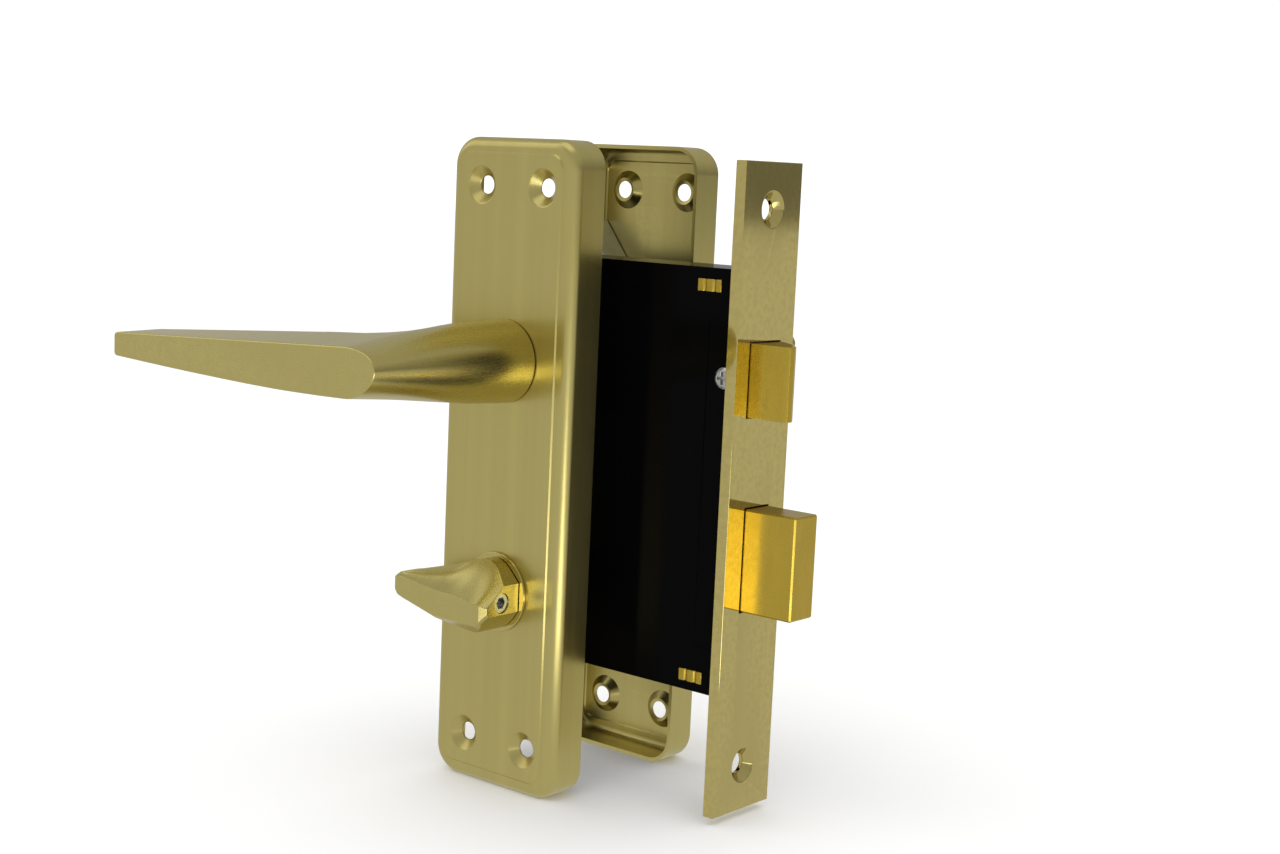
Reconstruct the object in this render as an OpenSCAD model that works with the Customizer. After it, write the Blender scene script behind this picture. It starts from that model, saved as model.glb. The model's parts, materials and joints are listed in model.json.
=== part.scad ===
// Bathroom mortise lock with its lever and turn furniture, as set in a door.
// Frame: origin at the middle of the forend's outer face, +X out of the door's edge,
// +Z up, the inside face of the door towards -Y and the outside face towards +Y.

/* [Door] */
// Thickness of the door that the two backplates clamp
door_thickness = 35; // [32:1:45]

/* [Case] */
// Depth of the case behind the forend's outer face
case_depth = 76; // [74:1:82]
// Height of the case
case_height = 101.5; // [100:0.5:110]
// Thickness of the case over its walls
case_thickness = 15.5; // [15.5:0.5:17]
// Distance from the forend's outer face to the spindle
backset = 57; // [56:0.5:58]
// Height of the lever spindle above the forend's middle
lever_height = 27; // [26:0.5:28]
// Distance from the lever spindle down to the turn spindle
centres = 57; // [56:0.5:58]

/* [Forend] */
// Height of the forend
forend_height = 155; // [150:1:165]
// Width of the forend
forend_width = 22; // [20:0.5:25]
// Thickness of the forend
forend_thickness = 3; // [2.5:0.5:3]
// Distance between the two screw holes of the forend
forend_screw_spacing = 133; // [128:1:138]

/* [Bolts] */
// How far the latch stands out at rest
latch_throw = 11.4; // [11:0.1:12]
// Height of the latch head
latch_height = 17.3; // [16:0.1:18]
// Thickness of the latch head
latch_thickness = 11.6; // [11:0.1:11.6]
// How far the deadbolt stands out when thrown
deadbolt_throw = 14.5; // [14:0.1:15]
// Height of the deadbolt head
deadbolt_height = 24.7; // [22:0.1:25]
// Thickness of the deadbolt head
deadbolt_thickness = 9; // [8:0.1:9.5]

/* [Backplates] */
// Width of each backplate
plate_width = 41; // [40:0.5:44]
// Height of each backplate
plate_height = 160; // [156:1:168]
// Depth of the backplate's rim
plate_depth = 10.5; // [10.5:0.5:12]
// Width between the screw holes
plate_screw_width = 20; // [18:0.5:22]
// Height between the screw holes
plate_screw_height = 137; // [130:1:140]

/* [Handles] */
// Reach of the lever's grip from the spindle to its tip
grip_length = 86; // [80:1:95]
// Height of the lever's front face above the backplate
lever_projection = 51.4; // [48:0.2:54]
// Side of the lever spindle
lever_square = 8; // [7.6:0.1:8]
// Side of the turn spindle
turn_square = 5; // [4.8:0.1:5]

/* [Hidden] */
$fn = 64;
cut = 0.02;                  // overshoot that keeps a cut from ending on a face
fit = 0.05;                  // radial clearance of a running fit
brass = "#a99a58";
bright_brass = "#c4a94f";
steel = "#9b9b9b";
lacquer = "#101010";

// Places
spindle_x = -backset;
turn_height = lever_height - centres;
plate_face_y = door_thickness / 2 + plate_depth;
plate_middle_z = 0.5;
case_middle_z = 1.7;
case_back_x = -case_depth;
case_front_x = -forend_thickness;
case_bottom_z = case_middle_z - case_height / 2;
rim = 1.2;                   // thickness of the case's rim
wall = 1;                    // thickness of the case's two side walls
wall_outer_y = case_thickness / 2;
wall_inner_y = wall_outer_y - wall;
inner_y = wall_inner_y - 0.1;  // half width of the works between the walls
pillar_x = -11.2;
pillar_heights = [48.3, -45.4];
stud_x = -72.3;
stud_radius = 2.4;
stud_tenon_radius = 1.5;
stud_heights = [45, -42];
screw_x = -5.7;
screw_head_radius = 2.6;
screw_radius = 1.45;

// Latch and deadbolt
latch_inside = 12;           // length of the latch head behind the forend's face
deadbolt_inside = 14;
deadbolt_z = -15.85;
latch_tail_thickness = 2;
deadbolt_tail_thickness = 2.4;
handle_swing = 42;           // degrees that the lever turns
latch_travel = 11;
deadbolt_travel = 14.53;
latch_arm = latch_travel / (2 * sin(handle_swing / 2));
turn_arm = deadbolt_travel / (2 * sin(45));
arm_nose = 2.2;              // radius of a follower arm's round end
arm_half = 1.4;
hub_radius = 9;
journal_radius = 7.5;
turn_hub_radius = 6.2;
turn_journal_radius = 4.6;
journal_reach = 0.3;         // how far a follower stands out of the case on each side
arm_thickness = 3.2;
head_back = backset - latch_inside;          // the latch head's back end, from the spindle
stem_half = 2.5;             // half height of the latch tail's stem
limb = 3.5;                  // width of the latch tail's limbs
limb_low = latch_arm + arm_nose + 0.35;
hook_face = latch_arm * sin(handle_swing / 2) - arm_nose - 0.2;
latch_rivet_at = 2.6;        // from the latch head's back end
latch_rivet_radius = 1.2;
guide_x = 26;                // the latch guide's place from the spindle
spring_post_at = [spindle_x + 16, lever_height - 23];
post_coil_radius = 3.6;
deadbolt_back = backset - deadbolt_inside;   // the deadbolt head's back end, from the spindle
deadbolt_rivet_at = 3;       // from the deadbolt head's back end
deadbolt_rivet_heights = [-6, 6];
deadbolt_rivet_radius = 1.4;
post_x = 17;                 // guide post's place from the turn spindle
post_z = 14;
post_radius = 2;
post_slot_half = post_radius + 0.2;
slot_half = arm_nose + 0.45;
arm_rest_x = turn_arm * sin(45);
detent_rest_x = 20;
detent_top = -8;             // height of the deadbolt tail's top edge

// Furniture
sheet = 1;                   // thickness of the backplate's sheet
panel_raise = 0.3;
panel_shift = -0.8;          // the pressed panel sits off the plate's middle
sheet_back = sheet + panel_raise;  // depth of the sheet's inner face below the panel
neck_radius = 10.2;
bush_radius = 8.4;
spigot_radius = 6.9;
collar_radius = 6.4;
turn_spigot_radius = 4.8;
boss_radius = 8.9;
boss_base = 0.95;            // height of the turn's underside above the backplate
grub_radius = 2.45;
grub_bore = 2.5;
grub_socket = 1.45;          // half width of the hexagon socket over its corners
lever_grub_z = 8;            // height of the lever's grub screw above the backplate
turn_grub_at = [-0.6, 6.6];  // the turn's grub screw, across and above the backplate
housing_depth = 10;

// ---------------------------------------------------------------- helpers

// Local frame of the furniture: x along the door, y up, z out of the door's face.
module inside_face(height) {
    translate([spindle_x, -plate_face_y, height]) rotate([90, 0, 0]) children();
}

module outside_face(height) {
    mirror([0, 1, 0]) inside_face(height) children();
}

// A plate in the XZ plane, given in x and z, centred on the case's middle plane.
module upright(thickness) {
    rotate([90, 0, 0]) linear_extrude(thickness, center = true) children();
}

module rounded_rect(width, height, radius) {
    square([width, height - 2 * radius], center = true);
    square([width - 2 * radius, height], center = true);
    for (x = [-1, 1], y = [-1, 1])
        translate([x * (width / 2 - radius), y * (height / 2 - radius)]) circle(radius);
}

module across(radius, length) {
    rotate([90, 0, 0]) cylinder(h = length, r = radius, center = true);
}

module square_bar(side, low, high) {
    translate([-side / 2, -side / 2, low]) cube([side, side, high - low]);
}

module tube(outer, inner, low, high) {
    translate([0, 0, low]) difference() {
        cylinder(h = high - low, r = outer);
        translate([0, 0, -cut]) cylinder(h = high - low + 2 * cut, r = inner);
    }
}

function unit(v) = v / norm(v);
function tangent(path, i) = unit(path[min(i + 1, len(path) - 1)] - path[max(i - 1, 0)]);

// Round wire along a path of points; side is a direction never along the path.
module wire(path, radius, side = [0, 1, 0], sides = 8) {
    rings = [for (i = [0 : len(path) - 1])
        let (t = tangent(path, i), u = unit(cross(t, side)), v = cross(t, u))
        for (k = [0 : sides - 1])
            path[i] + radius * (cos(360 * k / sides) * u + sin(360 * k / sides) * v)];
    last = len(path) - 1;
    walls = [for (i = [0 : last - 1], k = [0 : sides - 1])
        let (a = i * sides + k, b = i * sides + (k + 1) % sides)
        [a, b, b + sides, a + sides]];
    ends = [[for (k = [sides - 1 : -1 : 0]) k], [for (k = [0 : sides - 1]) last * sides + k]];
    polyhedron(rings, concat(walls, ends), convexity = 8);
}

// Points of a coil about the z axis.
function coil(radius, turns, low, high, start = 0, steps = 14) =
    [for (i = [0 : turns * steps])
        let (a = start + 360 * i / steps, h = low + (high - low) * i / (turns * steps))
        [radius * cos(a), radius * sin(a), h]];

// ---------------------------------------------------------------- case

module case_outline() {
    translate([case_back_x, case_bottom_z]) square([case_depth - forend_thickness, case_height]);
}

module side_wall(y) {
    difference() {
        translate([0, y, 0]) upright(wall) case_outline();
        translate([spindle_x, y, lever_height]) across(journal_radius + fit, 3 * wall);
        translate([spindle_x, y, turn_height]) across(turn_journal_radius + fit, 3 * wall);
        for (z = pillar_heights) translate([pillar_x, y, z]) cube([7, 3 * wall, 3], center = true);
        for (z = stud_heights) translate([stud_x, y, z]) across(stud_tenon_radius, 3 * wall);
    }
}

module case_body() {
    color(lacquer) {
        side_wall(wall_inner_y + wall / 2);
        upright_depth = 2 * wall_inner_y;
        difference() {
            upright(upright_depth) case_outline();
            upright(upright_depth + 1)
                translate([case_back_x + rim, case_bottom_z + rim])
                    square([case_depth, case_height - 2 * rim]);
        }
    }
}

module case_cover() {
    color(lacquer) difference() {
        side_wall(-wall_inner_y - wall / 2);
        // shallow pressed channel beside the forend
        translate([-11, -wall_outer_y - 1, -38]) cube([11, 1.25, 78]);
        // dished seat of the screw
        translate([screw_x, -wall_outer_y + 0.5, lever_height]) rotate([90, 0, 0])
            cylinder(h = 1, r1 = 3.4, r2 = 6.5);
        translate([screw_x, -wall_outer_y, lever_height]) across(screw_radius + 2 * fit, 6);
    }
}

module case_pillars() {
    color(bright_brass) for (z = pillar_heights) translate([pillar_x, 0, z]) difference() {
        union() {
            cube([9, 2 * wall_inner_y, 4.4], center = true);
            cube([7, case_thickness + 0.8, 3], center = true);
        }
        for (x = [-1.4, 1.4], y = [-1, 1])
            translate([x, y * (wall_outer_y + 0.4), 0]) rotate([0, 0, 45])
                cube([0.7, 0.7, 4], center = true);
    }
}

module rear_studs() {
    color(steel) for (z = stud_heights) translate([stud_x, 0, z]) {
        across(stud_radius, 2 * wall_inner_y);
        across(stud_tenon_radius, case_thickness);
    }
}

module cover_screw() {
    color(steel) translate([screw_x, -wall_outer_y + 0.5, lever_height]) rotate([90, 0, 0])
        difference() {
            union() {
                cylinder(h = 0.9, r = screw_head_radius);
                translate([0, 0, 0.9]) cylinder(h = 0.6, r1 = screw_head_radius, r2 = 1.8);
                translate([0, 0, -1.25]) cylinder(h = 1.3, r = screw_radius);
            }
            for (a = [0, 90]) rotate(a) translate([0, 0, 1.3]) cube([3, 0.7, 1.6], center = true);
        }
}

// ---------------------------------------------------------------- forend

module forend_slots(clearance, length) {
    gap = 2 * clearance;
    translate([0, 0, lever_height])
        cube([length, latch_thickness + gap, latch_height + gap], center = true);
    translate([0, 0, deadbolt_z])
        cube([length, deadbolt_thickness + gap, deadbolt_height + gap], center = true);
}

module forend() {
    color(brass) difference() {
        translate([-forend_thickness, -forend_width / 2, -forend_height / 2])
            cube([forend_thickness, forend_width, forend_height]);
        forend_slots(0.25, 20);
        for (z = [-1, 1]) translate([0, 0, z * forend_screw_spacing / 2]) rotate([0, 90, 0]) {
            cylinder(h = 20, r = 2.4, center = true);
            translate([0, 0, -1.9]) cylinder(h = 2, r1 = 2.4, r2 = 4.4);
        }
    }
}

module forend_bracket() {
    height = case_height - 2 * rim - 0.2;
    color(steel) difference() {
        union() {
            translate([case_front_x - rim, -inner_y, case_middle_z - height / 2])
                cube([rim, 2 * inner_y, height]);
            for (y = [-inner_y, inner_y - 0.75])
                translate([-14, y, lever_height - 6]) cube([14 - forend_thickness, 0.75, 12]);
        }
        forend_slots(0.05, 12);
        translate([screw_x, 0, lever_height]) across(screw_radius, 20);
    }
}

// ---------------------------------------------------------------- latch

module latch_head() {
    front = latch_throw;
    half = latch_thickness / 2;
    color(brass) translate([0, 0, lever_height]) difference() {
        translate([0, 0, -latch_height / 2]) linear_extrude(latch_height)
            polygon([[-latch_inside, -half], [front - 1.6, -half], [front - 0.4, -half + 0.5],
                [front, -half + 1.6], [front - 0.5, -half + 2.8], [front - 2.6, -half + 5.2],
                [front - 5.8, half - 3.4], [0.8, half], [-latch_inside, half]]);
        translate([-latch_inside, 0, 0])
            cube([10, latch_tail_thickness + 2 * fit, 2 * stem_half + 2 * fit], center = true);
        translate([-latch_inside + latch_rivet_at, 0, 0]) across(latch_rivet_radius, 30);
    }
}

// Drawn in x and z from the lever spindle: a stem, a limb over the follower and a hook.
module latch_tail() {
    stem_back = 20.5;
    hook = 4;
    hook_foot = 13.4;
    color(steel) translate([spindle_x, 0, lever_height]) difference() {
        upright(latch_tail_thickness) {
            translate([stem_back, -stem_half])
                square([head_back + 4.9 - stem_back, 2 * stem_half]);
            translate([stem_back, -stem_half]) square([limb, limb_low + limb + stem_half]);
            translate([hook_face - hook, limb_low])
                square([stem_back + limb - hook_face + hook, limb]);
            translate([hook_face - hook, hook_foot]) square([hook, limb_low + 0.1 - hook_foot]);
        }
        translate([head_back + latch_rivet_at, 0, 0]) across(latch_rivet_radius, 10);
    }
}

module latch_rivet() {
    color(steel) translate([-latch_inside + latch_rivet_at, 0, lever_height])
        across(latch_rivet_radius, latch_thickness - 1);
}

module latch_guide() {
    color(steel) translate([spindle_x + guide_x, 0, lever_height]) difference() {
        translate([0, -wall_inner_y, -17]) cube([3, 2 * wall_inner_y, 22]);
        cube([20, latch_tail_thickness + 0.3, 2 * stem_half + 0.3], center = true);
    }
}

module latch_spring() {
    color(steel) translate([spindle_x, 0, lever_height]) rotate([0, 90, 0])
        wire(coil(3.9, 6, guide_x + 3.6, head_back - 0.6), 0.45, [0, 0, 1]);
}

// ---------------------------------------------------------------- lever follower

// An arm whose round end stands at the given reach; x and y as seen in the plate's plane.
module arm(reach, angle) {
    rotate(-angle) {
        translate([-arm_half, 0]) square([2 * arm_half, reach]);
        translate([0, reach]) circle(arm_nose);
    }
}

module lever_follower() {
    lean = handle_swing / 2;
    color(steel) translate([spindle_x, 0, lever_height]) difference() {
        union() {
            across(hub_radius, 2 * inner_y);
            across(journal_radius, case_thickness + 2 * journal_reach);
            upright(arm_thickness) {
                arm(latch_arm, lean);
                arm(latch_arm, 180 - lean);
            }
        }
        rotate([90, 0, 0]) square_bar(lever_square + 2 * fit, -20, 20);
    }
}

module follower_spring() {
    // coil about the post, one leg against the follower's lower arm, one against the guide
    leg_up = [spindle_x + 8.9, 0.6, lever_height - 11.5];
    leg_out = [spindle_x + 25.4, -1.8, lever_height - 14];
    start = 205;
    turns = 2.75;
    steps = 16;
    centre = [spring_post_at[0], 0, spring_post_at[1]];
    ring = [for (i = [0 : turns * steps])
        let (a = start + 360 * i / steps, sink = (leg_up[1] - leg_out[1]) * i / (turns * steps))
        centre + [post_coil_radius * cos(a), leg_up[1] - sink, post_coil_radius * sin(a)]];
    color(steel) wire(concat([leg_up], ring, [leg_out]), 0.4, [0, 1, 0]);
}

module spring_post() {
    color(steel) translate([spring_post_at[0], 0, spring_post_at[1]])
        across(2.6, 2 * wall_inner_y);
}

// ---------------------------------------------------------------- deadbolt

module deadbolt_head() {
    chamfer = 0.4;
    half = deadbolt_thickness / 2;
    high = deadbolt_height / 2;
    color(brass) translate([0, 0, deadbolt_z]) difference() {
        hull() {
            translate([-deadbolt_inside, -half, -high + chamfer])
                cube([deadbolt_inside + deadbolt_throw - chamfer, 2 * half, 2 * (high - chamfer)]);
            translate([-deadbolt_inside, -half + chamfer, -high])
                cube([deadbolt_inside + deadbolt_throw - chamfer, 2 * (half - chamfer), 2 * high]);
            translate([-deadbolt_inside, -half + chamfer, -high + chamfer])
                cube([deadbolt_inside + deadbolt_throw, 2 * (half - chamfer), 2 * (high - chamfer)]);
        }
        translate([-deadbolt_inside, 0, 0])
            cube([12, deadbolt_tail_thickness + 2 * fit, 30], center = true);
        for (z = deadbolt_rivet_heights) translate([-deadbolt_inside + deadbolt_rivet_at, 0, z])
            across(deadbolt_rivet_radius, 30);
    }
}

// Drawn in x and z from the turn spindle.
module deadbolt_tail() {
    low = -turn_hub_radius - 0.4;
    top = detent_top - turn_height;
    notch = 2.4;
    color(steel) translate([spindle_x, 0, turn_height]) difference() {
        upright(deadbolt_tail_thickness) difference() {
            translate([-1, -low]) square([deadbolt_back + 6.9, top + low]);
            // mouth for the follower's arm
            translate([arm_rest_x - slot_half, 0]) square([2 * slot_half, 13.5]);
            // slot along the guide post
            translate([post_x - post_slot_half, post_z - post_slot_half])
                square([deadbolt_travel + 2 * post_slot_half, 2 * post_slot_half]);
            // two detent notches
            for (x = [detent_rest_x, detent_rest_x + deadbolt_travel])
                translate([x, top]) rotate(45) square(notch, center = true);
        }
        for (z = deadbolt_rivet_heights)
            translate([deadbolt_back + deadbolt_rivet_at, 0, deadbolt_z - turn_height + z])
                across(deadbolt_rivet_radius, 10);
    }
}

module deadbolt_rivets() {
    color(steel) for (z = deadbolt_rivet_heights)
        translate([-deadbolt_inside + deadbolt_rivet_at, 0, deadbolt_z + z])
            across(deadbolt_rivet_radius, deadbolt_thickness - 0.8);
}

module deadbolt_post() {
    color(steel) translate([spindle_x + post_x, 0, turn_height + post_z])
        across(post_radius, 2 * wall_inner_y);
}

module detent_spring() {
    // bent strip: clipped round a stub on the case, its nose resting in a notch
    top = detent_top;
    x = spindle_x;
    width = 5;
    half_sheet = 0.3;
    leaf = [[x - 4, top + 7.6], [x + 2, top + 7.6], [x + 16, top + 3],
        [x + detent_rest_x, top - 0.6], [x + 24, top + 3], [x + 26.5, top + 3.3]];
    color(steel) {
        upright(width) for (i = [0 : len(leaf) - 2]) hull()
            for (p = [leaf[i], leaf[i + 1]]) translate(p) circle(half_sheet, $fn = 16);
        translate([x - 2.8, 0, top + 9.3]) across(1.6, 2 * wall_inner_y);
    }
}

module turn_follower() {
    color(steel) translate([spindle_x, 0, turn_height]) difference() {
        union() {
            across(turn_hub_radius, 2 * inner_y);
            across(turn_journal_radius, case_thickness + 2 * journal_reach);
            upright(arm_thickness) rotate(-45) {
                translate([-1.2, 0]) square([2.4, turn_arm]);
                translate([0, turn_arm]) circle(arm_nose);
            }
        }
        rotate([90, 0, 0]) square_bar(turn_square + 2 * fit, -20, 20);
    }
}

// ---------------------------------------------------------------- spindles

module lever_spindle() {
    reach = plate_face_y + 33;
    color(steel) translate([spindle_x, 0, lever_height]) rotate([90, 0, 0])
        square_bar(lever_square, -reach, reach);
}

module turn_spindle() {
    color(steel) translate([spindle_x, 0, turn_height]) rotate([90, 0, 0])
        square_bar(turn_square, -plate_face_y - 1.6, plate_face_y + 9.5);
}

// ---------------------------------------------------------------- backplates

module puck(radius, fillet, top) {
    // quarter-round edge at the top of a short post
    rotate_extrude($fn = 48) {
        square([radius - fillet, top]);
        square([radius, top - fillet]);
        intersection() {
            translate([radius - fillet, top - fillet]) circle(fillet, $fn = 32);
            square([radius, top]);
        }
    }
}

module rounded_pan(width, height, radius, fillet, depth) {
    hull() for (x = [-1, 1], y = [-1, 1])
        translate([x * (width / 2 - radius), y * (height / 2 - radius), -depth])
            puck(radius, fillet, depth);
}

module backplate() {
    middle = plate_middle_z;
    dimples = [for (x = [-1, 1], y = [-1, 1])
        [x * plate_screw_width / 2, middle + y * plate_screw_height / 2]];
    margin = -panel_raise;
    color(brass) difference() {
        union() {
            translate([0, middle, margin]) difference() {
                rounded_pan(plate_width, plate_height, 7, 2.5, plate_depth - panel_raise);
                translate([0, 0, -sheet]) rounded_pan(plate_width - 2 * sheet,
                    plate_height - 2 * sheet, 7 - sheet, 1.5, plate_depth);
            }
            translate([panel_shift, middle, margin - 0.4]) linear_extrude(panel_raise + 0.4)
                rounded_rect(plate_width - 7.2, plate_height - 6, 4.5);
            for (d = dimples) translate([d[0], d[1], -3]) cylinder(h = 2.2, r1 = 3.3, r2 = 5.6);
        }
        for (d = dimples) translate([d[0], d[1], 0]) {
            translate([0, 0, -2]) cylinder(h = 2 + cut, r1 = 2.2, r2 = 4.4);
            translate([0, 0, -4]) cylinder(h = 5, r = 2.2);
        }
        translate([0, lever_height, -5]) cylinder(h = 10, r = bush_radius);
        translate([0, turn_height, -5]) cylinder(h = 10, r = collar_radius);
    }
}

module inside_backplate() { inside_face(0) backplate(); }
module outside_backplate() { outside_face(0) backplate(); }

// ---------------------------------------------------------------- levers

module front_outline() {
    // the lever's flat front: square tip on the left, blunt point on the right
    tip = -grip_length;
    polygon([[tip, 0.9], [tip + 0.3, 1.2], [1, 5.5], [4.5, 5], [7.6, 3.4], [9.6, 1.4], [9.9, 0.6],
        [9, -0.8], [5.6, -3.9], [2.4, -5.7], [-6, -6.3], [-25, -6.5], [-45, -6.1],
        [tip + 0.3, -4.7], [tip, -4.3]]);
}

module lever() {
    front = lever_projection;
    grip_back = front - 13.5;
    color(brass) difference() {
        union() {
            // neck, round at the plate and blunt at the front
            hull() {
                translate([0, 0, 0.2]) cylinder(h = 1, r = neck_radius);
                translate([0, 0.3, 22]) linear_extrude(1) resize([20.2, 17.8]) circle(10);
                translate([0, 0.3, 37]) linear_extrude(1) resize([20, 15]) circle(10);
                translate([0, 0, front - 0.5]) linear_extrude(0.5) intersection() {
                    front_outline();
                    translate([-8, -10]) square(20);
                }
            }
            // grip, a blade that thins towards its tip
            hull() {
                translate([0, 0, front - 0.5]) linear_extrude(0.5) intersection() {
                    front_outline();
                    translate([-grip_length, -10]) square([grip_length + 2, 20]);
                }
                translate([-grip_length + 0.5, -4.3, grip_back]) cube([1, 5.6, 1]);
                translate([-24, -6.8, grip_back - 2]) cube([20, 13, 1]);
            }
            // concave web between the neck and the grip's back
            rotate([90, 0, 0]) linear_extrude(13, center = true)
                polygon([[-6, 12], [-9.6, 14], [-10.6, 21], [-12.6, 27], [-16.4, 32], [-24, 36],
                    [-24, 40], [0, 40]]);
            // spigot that runs in the bush
            translate([0, 0, -5.6]) cylinder(h = 6, r = spigot_radius);
        }
        tube(20, 6, -4.9, -4.1);
        square_bar(lever_square + 2 * fit, -6, 34);
        translate([0, 0, lever_grub_z]) rotate([90, 0, 0]) cylinder(h = 20, r = grub_bore);
    }
}

module inside_lever() { inside_face(lever_height) lever(); }
module outside_lever() { outside_face(lever_height) lever(); }

module lever_grub_screw() {
    translate([0, -lever_square / 2 - 0.1, lever_grub_z]) rotate([90, 0, 0]) difference() {
        cylinder(h = 5, r = grub_radius);
        translate([0, 0, 2.5]) cylinder(h = 3, r = grub_socket, $fn = 6);
    }
}

module lever_grub_screws() {
    color(steel) {
        inside_face(lever_height) lever_grub_screw();
        outside_face(lever_height) lever_grub_screw();
    }
}

module lever_bush() {
    color("ivory") {
        tube(bush_radius, spigot_radius + fit, -4, 0);
        tube(10.5, bush_radius - cut, -2.2, -1);
    }
}

module inside_lever_bush() { inside_face(lever_height) lever_bush(); }
module outside_lever_bush() { outside_face(lever_height) lever_bush(); }

module lever_ring() {
    color(steel) difference() {
        tube(8.6, 6.05, -4.85, -4.15);
        translate([0, -7, -4.5]) cube([5, 8, 2], center = true);
    }
}

module inside_lever_ring() { inside_face(lever_height) lever_ring(); }
module outside_lever_ring() { outside_face(lever_height) lever_ring(); }

// ---------------------------------------------------------------- return springs

module spring_housing() {
    // cast cup behind the plate, with a shouldered lug along the plate's rear rim
    color(steel) difference() {
        union() {
            translate([0, 0, -housing_depth]) cylinder(h = housing_depth - sheet_back, r = 15);
            translate([0, 0, -housing_depth]) linear_extrude(housing_depth - sheet_back)
                polygon([[-18.9, -14], [-18.9, 33.5], [-16.6, 33.5], [-8.4, 23], [-8.4, -14]]);
        }
        translate([0, 0, -8.8]) cylinder(h = 8, r = 12.5);
        translate([0, 0, -12]) cylinder(h = 6, r = 6.6);
    }
}

module inside_spring_housing() { inside_face(lever_height) spring_housing(); }
module outside_spring_housing() { outside_face(lever_height) spring_housing(); }

module return_spring() {
    ring = coil(10.6, 2, -8.1, -5.8, 200, 24);
    // the inner leg stands at the first point's height, towards the collar
    leg = [ring[0][0] * 0.72, ring[0][1] * 0.72, ring[0][2]];
    color(steel) wire(concat([leg], ring), 0.5, [0, 0, 1]);
}

module inside_return_spring() { inside_face(lever_height) return_spring(); }
module outside_return_spring() { outside_face(lever_height) return_spring(); }

module drive_collar() {
    color(steel) difference() {
        union() {
            translate([0, 0, -9.9]) cylinder(h = 4.1, r = 6.5);
            translate([5, -1.5, -8.5]) cube([4, 3, 2.7]);
        }
        square_bar(lever_square + 2 * fit, -12, 0);
    }
}

module inside_drive_collar() { inside_face(lever_height) drive_collar(); }
module outside_drive_collar() { outside_face(lever_height) drive_collar(); }

// ---------------------------------------------------------------- thumbturn and release

module turn_spigot() {
    difference() {
        translate([0, 0, -4.6]) cylinder(h = 6, r = turn_spigot_radius);
        tube(10, 3.9, -3.95, -3.15);
    }
}

module thumbturn() {
    tip = -19.7;
    front = 13.2;
    color(brass) difference() {
        union() {
            intersection() {
                // outline seen from the front
                linear_extrude(30) hull() {
                    circle(boss_radius);
                    translate([tip, -0.3]) circle(3.6);
                }
                // section across the blade
                translate([-30, 0, 0]) rotate([90, 0, 90]) linear_extrude(38.2)
                    polygon([[-12, boss_base], [12, boss_base], [12, 1], [8.6, 3.4], [5.4, 7.4],
                        [0.9, 12.2], [0.4, 12.6], [-5.8, front], [-6.6, 12.6], [-12, 6]]);
                // plan: the blade's back rises towards the tip
                translate([0, 20, 0]) rotate([90, 0, 0]) linear_extrude(40)
                    polygon([[9, boss_base], [9, front], [-21.8, front], [-23.2, 12],
                        [-23.4, 7.6], [-14, 5], [-9.4, 2.6], [-8.9, boss_base]]);
            }
            turn_spigot();
        }
        square_bar(turn_square + 2 * fit, -6, 10);
        translate([0, turn_grub_at[0], turn_grub_at[1]]) rotate([0, 90, 0])
            cylinder(h = 20, r = grub_bore);
    }
}

module turn_grub_screw() {
    color(steel) inside_face(turn_height)
        translate([turn_square / 2 + 0.1, turn_grub_at[0], turn_grub_at[1]])
            rotate([0, 90, 0]) difference() {
                cylinder(h = 5.2, r = grub_radius);
                translate([0, 0, 2.6]) cylinder(h = 3, r = grub_socket, $fn = 6);
            }
}

module emergency_release() {
    disc = 2;
    chamfer = 1.2;
    color(brass) outside_face(turn_height) difference() {
        union() {
            translate([0, 0, boss_base]) cylinder(h = disc, r = boss_radius);
            translate([0, 0, boss_base + disc])
                cylinder(h = chamfer, r1 = boss_radius, r2 = boss_radius - 1.6);
            turn_spigot();
        }
        square_bar(turn_square + 2 * fit, -6, 1.8);
        // coin slot
        translate([0, 0, boss_base + disc + chamfer]) cube([13, 1.6, 2.4], center = true);
    }
}

module turn_bush() {
    tube(collar_radius, turn_spigot_radius + fit, -3, 0.8);
    tube(9.9, collar_radius - cut, 0, 0.8);
}

module turn_clip() {
    difference() {
        tube(6.2, 3.95, -3.85, -3.2);
        translate([0, -5, -3.5]) cube([3.4, 6, 2], center = true);
    }
}

module placed_thumbturn() { inside_face(turn_height) thumbturn(); }
module turn_collar() { color(bright_brass) inside_face(turn_height) turn_bush(); }
module turn_ring() { color(steel) inside_face(turn_height) turn_clip(); }
module release_collar() { color(bright_brass) outside_face(turn_height) turn_bush(); }
module release_ring() { color(steel) outside_face(turn_height) turn_clip(); }

// ---------------------------------------------------------------- nodes

case_body();
case_cover();
case_pillars();
rear_studs();
cover_screw();
forend();
forend_bracket();
latch_guide();
latch_spring();
latch_head();
latch_tail();
latch_rivet();
lever_follower();
follower_spring();
spring_post();
deadbolt_head();
deadbolt_tail();
deadbolt_rivets();
deadbolt_post();
detent_spring();
turn_follower();
lever_spindle();
turn_spindle();
inside_backplate();
outside_backplate();
inside_lever();
outside_lever();
lever_grub_screws();
inside_lever_bush();
outside_lever_bush();
inside_lever_ring();
outside_lever_ring();
inside_spring_housing();
outside_spring_housing();
inside_return_spring();
outside_return_spring();
inside_drive_collar();
outside_drive_collar();
placed_thumbturn();  // thumbturn
turn_grub_screw();
turn_collar();
turn_ring();
emergency_release();
release_collar();
release_ring();
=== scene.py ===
import json
import math

import bmesh
import bpy
from mathutils import Matrix, Vector


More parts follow.
